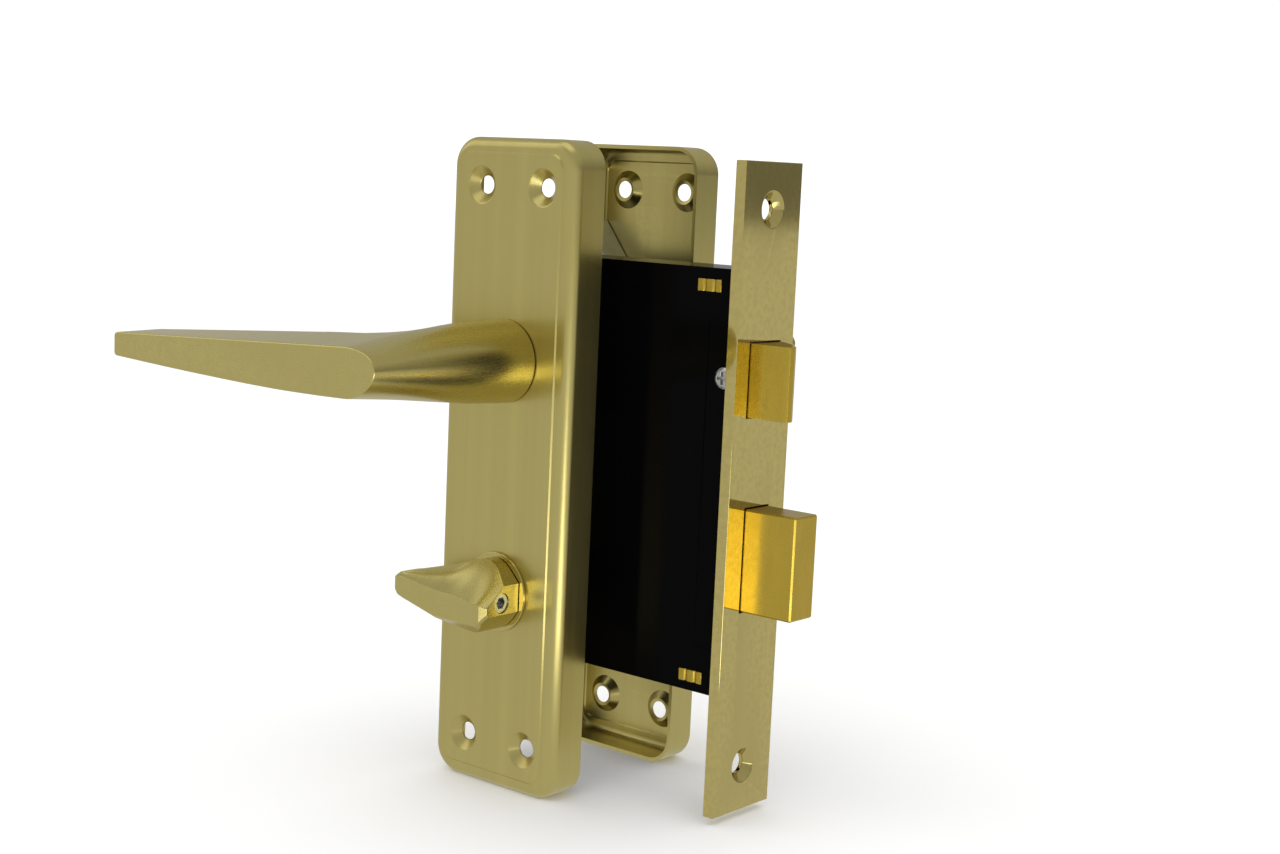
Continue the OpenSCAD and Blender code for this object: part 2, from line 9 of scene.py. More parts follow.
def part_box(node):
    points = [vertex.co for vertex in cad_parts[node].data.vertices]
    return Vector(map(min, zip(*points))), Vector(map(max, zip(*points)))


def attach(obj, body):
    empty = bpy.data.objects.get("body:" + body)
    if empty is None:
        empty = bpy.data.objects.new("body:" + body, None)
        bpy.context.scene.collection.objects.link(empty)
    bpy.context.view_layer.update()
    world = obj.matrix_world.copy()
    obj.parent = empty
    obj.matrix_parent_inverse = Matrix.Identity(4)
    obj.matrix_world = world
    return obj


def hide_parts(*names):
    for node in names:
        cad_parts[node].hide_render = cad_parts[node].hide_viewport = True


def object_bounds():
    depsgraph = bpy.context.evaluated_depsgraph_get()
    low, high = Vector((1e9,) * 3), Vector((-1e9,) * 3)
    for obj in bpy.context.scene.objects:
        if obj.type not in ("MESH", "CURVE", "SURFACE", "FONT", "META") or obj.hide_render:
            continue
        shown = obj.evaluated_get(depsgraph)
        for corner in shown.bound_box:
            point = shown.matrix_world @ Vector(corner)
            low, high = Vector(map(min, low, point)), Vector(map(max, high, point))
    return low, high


bl_info = {
    "name": "Bathroom mortise lock",
    "version": (1, 0, 0),
    "blender": (4, 5, 0),
    "location": "View3D > Sidebar > Lock",
    "description": "Finishes a brass mortise lock with its backplates, levers and thumbturn",
    "category": "Object",
}

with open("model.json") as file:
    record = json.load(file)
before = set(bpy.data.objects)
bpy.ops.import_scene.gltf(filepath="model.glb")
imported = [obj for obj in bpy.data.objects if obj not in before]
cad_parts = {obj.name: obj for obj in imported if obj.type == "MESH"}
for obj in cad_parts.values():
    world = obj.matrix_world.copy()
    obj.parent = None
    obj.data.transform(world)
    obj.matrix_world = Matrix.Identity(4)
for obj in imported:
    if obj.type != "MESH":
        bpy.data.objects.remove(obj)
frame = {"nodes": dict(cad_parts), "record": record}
CAD_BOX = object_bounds()

MM = 0.001
INSIDE, OUTSIDE = -1, 1
SIDES = (("inside", INSIDE), ("outside", OUTSIDE))


def box_centre(node):
    low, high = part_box(node)
    return (Vector(low) + Vector(high)) / 2


LEVER_AXIS = box_centre("inside_lever_bush")
TURN_AXIS = box_centre("turn_collar")
PLATE_LOW, PLATE_HIGH = (Vector(corner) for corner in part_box("inside_backplate"))
PLATE_FACE = abs(PLATE_LOW.y)
FORM_FRONT = abs(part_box("inside_lever")[0][1]) - PLATE_FACE
GRIP_TIP = LEVER_AXIS.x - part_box("inside_lever")[0][0]


# ---------------------------------------------------------------- properties

class LockSizes(bpy.types.PropertyGroup):
    plate_corner: bpy.props.FloatProperty(
        name="Plate corner", description="Corner radius of each backplate",
        default=0.007, min=0.003, max=0.012, unit="LENGTH")
    plate_fillet: bpy.props.FloatProperty(
        name="Plate fillet", description="Radius pressed along the backplate's front edge",
        default=0.0025, min=0.001, max=0.004, unit="LENGTH")
    plate_sheet: bpy.props.FloatProperty(
        name="Plate sheet", description="Thickness of the backplate's sheet",
        default=0.001, min=0.0006, max=0.0015, unit="LENGTH")
    panel_raise: bpy.props.FloatProperty(
        name="Panel raise", description="Height of the pressed panel above the margin",
        default=0.0003, min=0.0, max=0.0006, unit="LENGTH")
    grip_edge: bpy.props.FloatProperty(
        name="Grip edge", description="Radius left on the lever's front edge",
        default=0.00035, min=0.0001, max=0.001, unit="LENGTH")
    machined_edge: bpy.props.FloatProperty(
        name="Machined edge", description="Radius broken on sawn and machined edges",
        default=0.00018, min=0.00005, max=0.0005, unit="LENGTH")


class LockFinish(bpy.types.PropertyGroup):
    brass: bpy.props.FloatVectorProperty(
        name="Satin brass", description="Colour of the brushed brass", subtype="COLOR",
        size=3, default=(0.62, 0.53, 0.19), min=0.0, max=1.0)
    bright: bpy.props.FloatVectorProperty(
        name="Polished brass", description="Colour of the forend and the plates' skirts",
        subtype="COLOR", size=3, default=(0.60, 0.50, 0.18), min=0.0, max=1.0)
    bolt: bpy.props.FloatVectorProperty(
        name="Bolt brass", description="Colour of the latch and deadbolt heads",
        subtype="COLOR", size=3, default=(0.62, 0.44, 0.065), min=0.0, max=1.0)
    lacquer: bpy.props.FloatVectorProperty(
        name="Lacquer", description="Colour of the case", subtype="COLOR",
        size=3, default=(0.0012, 0.0012, 0.0014), min=0.0, max=1.0)
    steel: bpy.props.FloatVectorProperty(
        name="Plated steel", description="Colour of the inner works and screws",
        subtype="COLOR", size=3, default=(0.56, 0.57, 0.58), min=0.0, max=1.0)
    nylon: bpy.props.FloatVectorProperty(
        name="Nylon", description="Colour of the lever bushes", subtype="COLOR",
        size=3, default=(0.72, 0.70, 0.64), min=0.0, max=1.0)


class LockStage(bpy.types.PropertyGroup):
    azimuth: bpy.props.FloatProperty(
        name="Azimuth", description="Direction that the camera looks from",
        default=math.radians(39.6), subtype="ANGLE")
    elevation: bpy.props.FloatProperty(
        name="Elevation", description="Height of the camera over the horizon",
        default=math.radians(7.6), subtype="ANGLE")
    roll: bpy.props.FloatProperty(
        name="Roll", description="Turn of the camera about its line of sight",
        default=math.radians(2.65), subtype="ANGLE")
    distance: bpy.props.FloatProperty(
        name="Distance", description="Distance from the camera to what it aims at",
        default=0.49, unit="LENGTH")
    aim: bpy.props.FloatVectorProperty(
        name="Aim", description="Point that the camera aims at",
        default=(-0.0489, 0.0145, 0.0087), subtype="TRANSLATION", unit="LENGTH")
    lens: bpy.props.FloatProperty(
        name="Lens", description="Focal length on a 36 mm sensor", default=53.5, unit="CAMERA")


# ---------------------------------------------------------------- mesh helpers

def face_matrix(side, height):
    """Takes a face's millimetres, x along the door, y up and z outwards, to the shared frame."""
    place = Matrix.Translation((LEVER_AXIS.x, side * PLATE_FACE, height))
    turned = Matrix(((1, 0, 0), (0, 0, side), (0, 1, 0))).to_4x4()
    return place @ turned @ Matrix.Scale(MM, 4)


def add_piece(name, bm, finish, body, replaced, sharp_angle=30):
    """Makes the piece's object, shades it, parents it to its body and hides the CAD parts that it
    replaces.
    """
    mesh = bpy.data.meshes.new(name)
    bm.to_mesh(mesh)
    bm.free()
    mesh.polygons.foreach_set("use_smooth", [True] * len(mesh.polygons))
    mesh.set_sharp_from_angle(angle=math.radians(sharp_angle))
    mesh.materials.append(finish)
    piece = bpy.data.objects.new(name, mesh)
    bpy.context.scene.collection.objects.link(piece)
    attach(piece, body)
    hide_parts(*replaced)
    return piece


def weigh_normals(piece):
    weighted = piece.modifiers.new("Weighted normals", "WEIGHTED_NORMAL")
    weighted.keep_sharp = True
    weighted.weight = 80


def ring_edges(bm, ring):
    return [bm.edges.get(pair) for pair in zip(ring, ring[1:] + ring[:1])]


def extrude_ring(bm, ring, places):
    """Extrudes a closed ring of vertices to new places, and returns the new ring in order."""
    made = bmesh.ops.extrude_edge_only(bm, edges=ring_edges(bm, ring))["geom"]
    new = {part for part in made if isinstance(part, bmesh.types.BMVert)}
    moved = []
    for vert, place in zip(ring, places):
        follower = next(e.other_vert(vert) for e in vert.link_edges if e.other_vert(vert) in new)
        follower.co = place
        moved.append(follower)
    return moved


def circle_places(radius, height, count, centre=(0, 0)):
    turn = math.tau / count
    return [Vector((centre[0] + radius * math.cos(i * turn),
                    centre[1] + radius * math.sin(i * turn), height)) for i in range(count)]


def start_ring(bm, places):
    """A circle of vertices, moved to its places."""
    ring = bmesh.ops.create_circle(bm, cap_ends=False, radius=1, segments=len(places))["verts"]
    for vert, place in zip(ring, places):
        vert.co = place
    return ring


def smooth_value(stops, at):
    """Value at a place on a smooth curve through (place, value) stops."""
    last = len(stops) - 1
    at = min(max(at, stops[0][0]), stops[last][0])
    k = next(i for i in range(last) if at <= stops[i + 1][0])

    def slope(i):
        (a, low), (b, high) = stops[max(i - 1, 0)], stops[min(i + 1, last)]
        return (high - low) / (b - a)

    (a, low), (b, high) = stops[k], stops[k + 1]
    span = b - a
    t = (at - a) / span
    rise = t * t * (3 - 2 * t)
    return (low + (high - low) * rise + span * (slope(k) * t * (1 - t) ** 2
                                                - slope(k + 1) * t * t * (1 - t)))


def softened(node, width, segments=2, angle=28):
    """A merged copy of a CAD node's mesh with its sharp edges rounded."""
    bm = bmesh.new()
    bm.from_mesh(frame["nodes"][node].data)
    bmesh.ops.remove_doubles(bm, verts=bm.verts, dist=0.002 * MM)
    bmesh.ops.dissolve_limit(bm, angle_limit=math.radians(1), verts=bm.verts, edges=bm.edges)
    sharp = [edge for edge in bm.edges
             if len(edge.link_faces) == 2 and edge.calc_face_angle() > math.radians(angle)]
    bmesh.ops.bevel(bm, geom=sharp, affect="EDGES", offset=width, segments=segments,
                    profile=0.5, material=-1, clamp_overlap=True)
    return bm


def add_softened(node, body, finish, width, name=None, segments=2):
    piece = add_piece(name or node + "_finished", softened(node, width, segments), finish,
                      body, [node], sharp_angle=40)
    weigh_normals(piece)
    return piece


# ---------------------------------------------------------------- backplates

HOLE_SIDES = 48
CORNER_SIDES = 14
FILLET_SIDES = 8
PANEL_MARGIN = 1.0           # from the fillet to the panel's foot, before the shift
PANEL_STEP = 0.35            # width of the panel's sloping step
CUT_EDGE = 0.12
PANEL_SHIFT = -0.8
BUSH_HOLE = 8.4
COLLAR_HOLE = 6.4
DIMPLE_ROLL = ((4.85, 0.0), (4.62, -0.05), (4.42, -0.17), (4.2, -0.36))
DIMPLE_FOOT = ((2.32, -1.98), (2.22, -2.14), (2.2, -2.3))


def plate_bmesh(sizes):
    """The outer skin of a backplate: skirt, fillet, margin, raised panel and dimpled holes."""
    width = (PLATE_HIGH.x - PLATE_LOW.x) / MM
    height = (PLATE_HIGH.z - PLATE_LOW.z) / MM
    depth = (PLATE_HIGH.y - PLATE_LOW.y) / MM
    middle = (PLATE_HIGH.z + PLATE_LOW.z) / 2 / MM
    margin = -sizes.panel_raise / MM
    corner = sizes.plate_corner / MM
    fillet = sizes.plate_fillet / MM
    bm = bmesh.new()
    bmesh.ops.create_grid(bm, x_segments=1, y_segments=1, size=0.5)
    bmesh.ops.scale(bm, vec=(width, height, 1), verts=bm.verts)
    bmesh.ops.translate(bm, vec=(0, middle, margin), verts=bm.verts)
    bmesh.ops.bevel(bm, geom=bm.verts[:], affect="VERTICES", offset=corner,
                    segments=CORNER_SIDES, profile=0.5, material=-1)
    rim = [edge for edge in bm.edges if edge.is_boundary]
    skirt = bmesh.ops.extrude_edge_only(bm, edges=rim)["geom"]
    skirt_verts = [part for part in skirt if isinstance(part, bmesh.types.BMVert)]
    bmesh.ops.translate(bm, vec=(0, 0, -depth - margin), verts=skirt_verts)
    bmesh.ops.bevel(bm, geom=rim, affect="EDGES", offset=fillet,
                    segments=FILLET_SIDES, profile=0.5, material=-1, clamp_overlap=False)
    bmesh.ops.remove_doubles(bm, verts=bm.verts, dist=0.0005)
    face = max(bm.faces, key=lambda f: f.calc_center_median().z + f.calc_area())
    # the panel: its foot, then its raised edge
    bmesh.ops.inset_region(bm, faces=[face], thickness=PANEL_MARGIN, use_even_offset=True)
    bmesh.ops.translate(bm, vec=(PANEL_SHIFT, 0, 0), verts=face.verts)
    bmesh.ops.inset_region(bm, faces=[face], thickness=PANEL_STEP, use_even_offset=True)
    bmesh.ops.translate(bm, vec=(0, 0, -margin), verts=face.verts)
    ring = [loop.vert for loop in face.loops]
    bmesh.ops.delete(bm, geom=[face], context="FACES_ONLY")
    across = plate_screw_spacing()
    for_fill = ring_edges(bm, ring)
    dimples = []
    for x in (-across[0] / 2, across[0] / 2):
        for y in (-across[1] / 2, across[1] / 2):
            radius, z = DIMPLE_ROLL[0]
            dimple = start_ring(bm, circle_places(radius, z, HOLE_SIDES, (x, middle + y)))
            dimples.append(((x, middle + y), dimple))
            for_fill += ring_edges(bm, dimple)
    for axis, radius in ((LEVER_AXIS, BUSH_HOLE), (TURN_AXIS, COLLAR_HOLE)):
        hole = start_ring(bm, circle_places(radius, 0, HOLE_SIDES, (0, axis.z / MM)))
        for_fill += ring_edges(bm, hole)
    bmesh.ops.triangle_fill(bm, use_beauty=True, use_dissolve=False, edges=for_fill,
                            normal=(0, 0, 1))
    for centre, ring in dimples:
        for radius, z in DIMPLE_ROLL[1:] + DIMPLE_FOOT:
            ring = extrude_ring(bm, ring, circle_places(radius, z, HOLE_SIDES, centre))
    bmesh.ops.recalc_face_normals(bm, faces=bm.faces)
    top = max(bm.faces, key=lambda f: f.calc_center_median().z)
    if top.normal.z < 0:
        bmesh.ops.reverse_faces(bm, faces=bm.faces)
    return bm


def plate_screw_spacing():
    """Width and height between a backplate's screw holes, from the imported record."""
    for mount in frame["record"]["mounts"]:
        if mount["name"] == "inside_plate_screws":
            return mount["dims"]["spacing_x_mm"], mount["dims"]["spacing_y_mm"]
    raise RuntimeError("the frame has no plate screws")


class LOCK_OT_backplates(bpy.types.Operator):
    """Presses the two backplates from sheet"""
    bl_idname = "lock.backplates"
    bl_label = "Backplates"

    def execute(self, context):
        sizes = context.scene.lock_sizes
        finish = plate_brass(context.scene.lock_finish)
        for word, side in SIDES:
            bm = plate_bmesh(sizes)
            bmesh.ops.transform(bm, matrix=face_matrix(side, 0), verts=bm.verts)
            if side == OUTSIDE:
                bmesh.ops.reverse_faces(bm, faces=bm.faces)
            piece = add_piece(word + "_backplate_pressed", bm, finish, "case",
                              [word + "_backplate"])
            sheet = piece.modifiers.new("Sheet", "SOLIDIFY")
            sheet.thickness = sizes.plate_sheet
            sheet.offset = -1
            sheet.use_even_offset = True
            edge = piece.modifiers.new("Cut edge", "BEVEL")
            edge.width = CUT_EDGE * MM
            edge.segments = 2
            edge.limit_method = "ANGLE"
            edge.angle_limit = math.radians(50)
            weigh_normals(piece)
        return {"FINISHED"}


# ---------------------------------------------------------------- levers

HALF = 48                    # vertices on each side of the lever's middle
TURN_IN = HALF // 4          # where a section's side turns into its end
NECK_STOPS = {
    "reach": ((0, 10.2), (22, 10.1), (37, 10.0), (51.4, 9.9)),
    "top": ((0, 10.2), (10, 9.85), (22, 9.2), (37, 7.6), (51.4, 5.5)),
    "bottom": ((0, -10.2), (10, -9.75), (22, -8.7), (37, -7.2), (51.4, -6.15)),
    "ridge": ((0, 0), (22, 0.3), (51.4, 0.6)),
    "top_power": ((0, 2), (15, 2), (37, 2.0), (51.4, 2.1)),
    "bottom_power": ((0, 2), (15, 2), (37, 1.9), (51.4, 1.75)),
    "back": ((0, 10.2), (14, 10.1), (21, 10.7), (27, 12.6), (32, 16.4), (35.4, 22.6)),
    "back_power": ((0, 2), (18, 2), (28, 2.6), (35.4, 4.6)),
}
WEB_END = 24
WEB_POWER = NECK_STOPS["back_power"][-1][1]    # the grip starts as the neck's last section
TIP_CORNER = 0.9
SOCKET_HALF = 4.05           # half side of the square socket
SOCKET_END = 34              # height of its closed end
# radius and height of each ring from the spigot's end to the neck
LEVER_SPIGOT = ((6.7, -5.6), (6.9, -5.4), (6.9, -4.9), (6.05, -4.9), (6.05, -4.1), (6.9, -4.1),
                (6.9, 0.2), (9.95, 0.2), (10.12, 0.27))
NECK_PLACES = (0.45, 2, 5, 8, 11, 14, 17, 20, 22.5, 25, 27.2, 29.2, 31, 32.6, 34, 35.2)
GRIP_SHARES = (0.0, 0.02, 0.2, 0.4, 0.6, 0.8, 1.0)
BACK_EDGE = 0.6              # rounding of the grip's back edge, past the web
GRUB_HEIGHT = 8
GRUB_BORE = 2.5
GRUB_DEPTH = 14
GRIP_BACK = 35.9
TIP_BACK = 37.9
FRONT_TOP = ((0, 5.5), (86, 1.2))
FRONT_BOTTOM = ((0, -6.15), (6, -6.32), (25, -6.5), (45, -6.1), (66, -5.45), (86, -4.65))
BACK_TOP = ((0, 7.75), (10, 7.1), (24, 6.2), (86, 1.5))
BACK_BOTTOM = ((0, -7.3), (10, -7.1), (24, -6.8), (50, -6.1), (86, -4.45))


def superellipse(angle, reach, rise, power):
    c, s = math.cos(angle), math.sin(angle)
    return reach * abs(c) ** (2 / power), rise * abs(s) ** (2 / power)


def neck_half(z):
    """The rounded right half of a section, from top to bottom."""
    at = {key: smooth_value(stops, z) for key, stops in NECK_STOPS.items() if key[:4] != "back"}
    places = []
    for i in range(HALF + 1):
        angle = math.pi / 2 - math.pi * i / HALF
        if angle >= 0:
            x, y = superellipse(angle, at["reach"], at["top"] - at["ridge"], at["top_power"])
        else:
            x, y = superellipse(angle, at["reach"], at["ridge"] - at["bottom"], at["bottom_power"])
            y = -y
        places.append(Vector((x, at["ridge"] + y, z)))
    return places


def web_half(z):
    """The left half of a section of the neck, from bottom to top."""
    top, bottom = (smooth_value(NECK_STOPS[key], z) for key in ("top", "bottom"))
    ridge, back = (smooth_value(NECK_STOPS[key], z) for key in ("ridge", "back"))
    power = smooth_value(NECK_STOPS["back_power"], z)
    taper = smooth_value(((0, 0), (18, 0), (GRIP_BACK, 1)), z)
    places = []
    for i in range(1, HALF):
        angle = -math.pi / 2 + math.pi * i / HALF
        x, _ = superellipse(angle, back, 1, power)
        if angle >= 0:
            rise = (top - ridge) * (1 - taper) + (smooth_value(BACK_TOP, x) - ridge) * taper
        else:
            rise = (ridge - bottom) * (1 - taper) + (ridge - smooth_value(BACK_BOTTOM, x)) * taper
        x, y = superellipse(angle, back, rise, power)
        places.append(Vector((-x, ridge + math.copysign(y, angle), z)))
    return places


def grip_half(share):
    """The left half of a section of the grip, at a share of its depth, from bottom to top."""
    turn = math.cos(math.pi / 4) ** (2 / WEB_POWER)
    steps = HALF // 2
    upper = []
    for i in range(1, steps + 1):
        if i <= TURN_IN:
            angle = math.pi / 2 - math.pi * i / HALF
            x = WEB_END * math.cos(angle) ** (2 / WEB_POWER) / turn
            y_in = 0.0
        elif i <= TURN_IN + 6:
            x = WEB_END + (GRIP_TIP / MM - TIP_CORNER - WEB_END) * (i - TURN_IN) / 6
            y_in = 0.0
        else:
            part = (i - TURN_IN - 6) / (steps - TURN_IN - 6)
            swing = min(part * 2, 1) * math.pi / 2
            x = GRIP_TIP / MM - TIP_CORNER * (1 - math.sin(swing))
            y_in = TIP_CORNER * (1 - math.cos(swing))
            if part > 0.5:
                y_in = None if part == 1 else -(part * 2 - 1)
        upper.append((x, y_in))

    def place(x, y_in, front, back, way):
        edge = (1 - share) * smooth_value(back, x) + share * smooth_value(front, x)
        other_front, other_back = ((FRONT_BOTTOM, BACK_BOTTOM) if way > 0
                                   else (FRONT_TOP, BACK_TOP))
        other = (1 - share) * smooth_value(other_back, x) + share * smooth_value(other_front, x)
        middle = (edge + other) / 2
        if y_in is None:
            y = middle
        elif y_in < 0:
            y = edge - way * TIP_CORNER + (middle - edge + way * TIP_CORNER) * -y_in
        else:
            y = edge - way * y_in
        rear = GRIP_BACK + (TIP_BACK - GRIP_BACK) * max(x - WEB_END, 0) / (86 - WEB_END)
        return Vector((-x, y, rear + (FORM_FRONT / MM - rear) * share))

    lower = [place(x, y_in, FRONT_BOTTOM, BACK_BOTTOM, -1) for x, y_in in upper[:-1]]
    return lower + [place(x, y_in, FRONT_TOP, BACK_TOP, 1) for x, y_in in reversed(upper)]


def lever_bmesh(sizes):
    """Neck, web and grip in one skin, with the spigot and square socket behind."""
    bm = bmesh.new()
    count = 2 * HALF
    front = FORM_FRONT / MM
    foot = neck_half(NECK_PLACES[0]) + web_half(NECK_PLACES[0])

    def circle(radius, z):
        return [Vector((v.x, v.y, 0)).normalized() * radius + Vector((0, 0, z)) for v in foot]

    def square(half, z):
        return [Vector((v.x, v.y, 0)) * (half / max(abs(v.x), abs(v.y))) + Vector((0, 0, z))
                for v in foot]

    ring = start_ring(bm, square(SOCKET_HALF, SOCKET_END))
    bmesh.ops.edgeloop_fill(bm, edges=ring_edges(bm, ring))
    ring = extrude_ring(bm, ring, square(SOCKET_HALF, LEVER_SPIGOT[0][1]))
    for radius, z in LEVER_SPIGOT:
        ring = extrude_ring(bm, ring, circle(radius, z))
    for z in NECK_PLACES:
        ring = extrude_ring(bm, ring, neck_half(z) + web_half(z))
    rims = []
    for share in GRIP_SHARES:
        z = GRIP_BACK + (front - GRIP_BACK) * share
        ring = extrude_ring(bm, ring, neck_half(z) + grip_half(share))
        rims.append(ring)
    bmesh.ops.edgeloop_fill(bm, edges=ring_edges(bm, rims[-1]))
    bmesh.ops.recalc_face_normals(bm, faces=bm.faces)
    start, end = HALF + TURN_IN, count - TURN_IN
    under = [bm.edges.get((rims[0][i], rims[0][i + 1])) for i in range(start, end)]
    bmesh.ops.bevel(bm, geom=ring_edges(bm, rims[-1]), affect="EDGES",
                    offset=sizes.grip_edge / MM, segments=3, profile=0.5, material=-1,
                    clamp_overlap=True)
    bmesh.ops.bevel(bm, geom=[edge for edge in under if edge.is_valid], affect="EDGES",
                    offset=BACK_EDGE, segments=3, profile=0.5, material=-1, clamp_overlap=True)
    return bm


def bore(piece, place, radius, depth):
    """Cuts a round hole into the piece, along the place's z axis from its origin."""
    bm = bmesh.new()
    bmesh.ops.create_cone(bm, cap_ends=True, segments=40, radius1=radius, radius2=radius,
                          depth=depth, matrix=place @ Matrix.Translation((0, 0, depth / 2)))
    bmesh.ops.recalc_face_normals(bm, faces=bm.faces)
    mesh = bpy.data.meshes.new("Cutter")
    bm.to_mesh(mesh)
    bm.free()
    cutter = bpy.data.objects.new("Cutter", mesh)
    bpy.context.scene.collection.objects.link(cutter)
    cutting = piece.modifiers.new("Bore", "BOOLEAN")
    cutting.operation = "DIFFERENCE"
    cutting.solver = "EXACT"
    cutting.object = cutter
    graph = bpy.context.evaluated_depsgraph_get()
    cut = bpy.data.meshes.new_from_object(piece.evaluated_get(graph))
    if len(cut.polygons) < len(piece.data.polygons) / 2:
        raise RuntimeError(f"boring {piece.name} lost most of its faces")
    piece.modifiers.remove(cutting)
    solid, piece.data = piece.data, cut
    bpy.data.objects.remove(cutter)
    bpy.data.meshes.remove(mesh)
    bpy.data.meshes.remove(solid)


class LOCK_OT_levers(bpy.types.Operator):
    """Casts the two lever handles"""
    bl_idname = "lock.levers"
    bl_label = "Levers"

    def execute(self, context):
        finish = lever_brass(context.scene.lock_finish)
        for word, side in SIDES:
            bm = lever_bmesh(context.scene.lock_sizes)
            bmesh.ops.transform(bm, matrix=face_matrix(side, LEVER_AXIS.z), verts=bm.verts)
            if side == OUTSIDE:
                bmesh.ops.reverse_faces(bm, faces=bm.faces)
            piece = add_piece(word + "_lever_cast", bm, finish, "handle",
                              [word + "_lever"], sharp_angle=50)
            below = Matrix.Rotation(math.pi / 2, 4, "X")
            bore(piece, face_matrix(side, LEVER_AXIS.z) @ Matrix.Translation((0, 0, GRUB_HEIGHT))
                 @ below, GRUB_BORE, GRUB_DEPTH)
            piece.data.set_sharp_from_angle(angle=math.radians(50))
            weigh_normals(piece)
        return {"FINISHED"}


# ---------------------------------------------------------------- turn and release

# The thumbturn's section at places along x: its outline, crease and heights over the plate.
TURN_STOPS = {
    "bottom": ((-23.2, -2.4), (-21.8, -3.5), (-19, -4.15), (-9, -6.5), (0, -8.8), (3, -8.3),
               (5.5, -6.8), (8.2, -3.5)),
    "top": ((-23.2, 1.9), (-21.8, 2.9), (-19, 3.5), (-9, 6.1), (0, 8.7), (3.6, 7.9), (8.2, 3.6)),
    "crease": ((-23.2, 1.5), (-21, 2.0), (-16, 1.6), (-8, 0.7), (0, 0.3), (6.2, -0.6),
               (8.2, -1.2)),
    "front": ((-23.2, 12.4), (-21.4, 12.9), (0, 13.1), (6.6, 13.0), (8.2, 11.7)),
    "shoulder": ((-23.2, 11.8), (-18, 11.0), (-12, 9.0), (-5, 6.2), (0, 4.9), (4, 4.6),
                 (8.2, 6.2)),
    "sag": ((-23.2, 0), (-16, 0.5), (-7, 1.2), (-3, 0.7), (2.6, 0.6), (6, 0.3), (8.2, 0)),
    "back": ((-23.2, 7.7), (-14, 5.1), (-9.6, 2.8), (-8.9, 1.0), (8.2, 1.0)),
}
TURN_PLACES = (-23.2, -22.7, -21.8, -20.4, -19, -17, -15, -13, -11, -9.6, -8.9, -7, -5, -3, -1,
               1, 2.4, 3.6, 5, 6.6, 8.2)
STRIP_BOTTOM = -6.2
TURN_BASE = 1.0
SCOOP_STEPS = 9
SPIGOT_RADIUS = 4.8
SPIGOT_LOW = -4.5
SPIGOT_TOP = 1.6             # inside the casting
TURN_GRUB = (3.0, -0.6, 6.6)
TURN_BORE = 2.5
TURN_BORE_DEPTH = 8
TURN_EDGE = 0.22


def turn_section(x):
    """Underside, front strip, scooped upper face and back of the thumbturn at one place."""
    at = {key: smooth_value(stops, x) for key, stops in TURN_STOPS.items()}
    strip = max(at["bottom"] + 0.35, STRIP_BOTTOM)
    drop = (strip - at["bottom"]) * 1.6
    back = max(at["back"], TURN_BASE)
    places = [(at["bottom"], back), (at["bottom"], at["front"] - 0.7 - drop),
              (strip, at["front"] - 0.7), (strip + 0.5, at["front"])]
    for i in range(SCOOP_STEPS + 1):
        t = i / SCOOP_STEPS
        across = at["crease"] + (at["top"] - at["crease"]) * t
        fall = at["front"] + (at["shoulder"] - at["front"]) * t
        places.append((across, fall - at["sag"] * 4 * t * (1 - t)))
    places.append((at["top"], back))
    return [Vector((x, y, z)) for y, z in places]


def turn_bmesh():
    bm = bmesh.new()
    ring = start_ring(bm, turn_section(TURN_PLACES[0]))
    bmesh.ops.edgeloop_fill(bm, edges=ring_edges(bm, ring))
    for x in TURN_PLACES[1:]:
        ring = extrude_ring(bm, ring, turn_section(x))
    bmesh.ops.edgeloop_fill(bm, edges=ring_edges(bm, ring))
    bmesh.ops.recalc_face_normals(bm, faces=bm.faces)
    sharp = [edge for edge in bm.edges if edge.calc_face_angle() > math.radians(24)]
    bmesh.ops.bevel(bm, geom=sharp, affect="EDGES", offset=TURN_EDGE, segments=3,
                    profile=0.5, material=-1, clamp_overlap=True)
    bmesh.ops.dissolve_degenerate(bm, dist=0.004, edges=bm.edges)
    height = SPIGOT_TOP - SPIGOT_LOW
    bmesh.ops.create_cone(bm, cap_ends=True, segments=48, radius1=SPIGOT_RADIUS,
                          radius2=SPIGOT_RADIUS, depth=height,
                          matrix=Matrix.Translation((0, 0, SPIGOT_LOW + height / 2)))
    return bm


class LOCK_OT_turn(bpy.types.Operator):
    """Finishes the thumbturn, the emergency release and their collars"""
    bl_idname = "lock.turn"
    bl_label = "Thumbturn and release"

    def execute(self, context):
        finish = context.scene.lock_finish
        satin = lever_brass(finish)
        bright = forend_brass(finish)
        steel = plated_steel(finish)
        bm = turn_bmesh()
        place = face_matrix(INSIDE, TURN_AXIS.z)
        bmesh.ops.transform(bm, matrix=place, verts=bm.verts)
        piece = add_piece("thumbturn_cast", bm, satin, "turn", ["thumbturn"],
                          sharp_angle=40)
        bore(piece, place @ Matrix.Translation(TURN_GRUB) @ Matrix.Rotation(math.pi / 2, 4, "Y"),
             TURN_BORE, TURN_BORE_DEPTH)
        piece.data.set_sharp_from_angle(angle=math.radians(40))
        weigh_normals(piece)
        add_softened("emergency_release", "turn", satin, 0.2 * MM)
        add_softened("turn_grub_screw", "turn", steel, 0.12 * MM)
        add_softened("turn_collar", "case", bright, 0.2 * MM)
        add_softened("release_collar", "case", bright, 0.2 * MM)
        return {"FINISHED"}


# ---------------------------------------------------------------- forend, bolts and case

class LOCK_OT_forend(bpy.types.Operator):
    """Finishes the forend plate"""
    bl_idname = "lock.forend"
    bl_label = "Forend"

    def execute(self, context):
        width = context.scene.lock_sizes.machined_edge
        finish = forend_brass(context.scene.lock_finish)
        add_softened("forend", "case", finish, width)
        return {"FINISHED"}


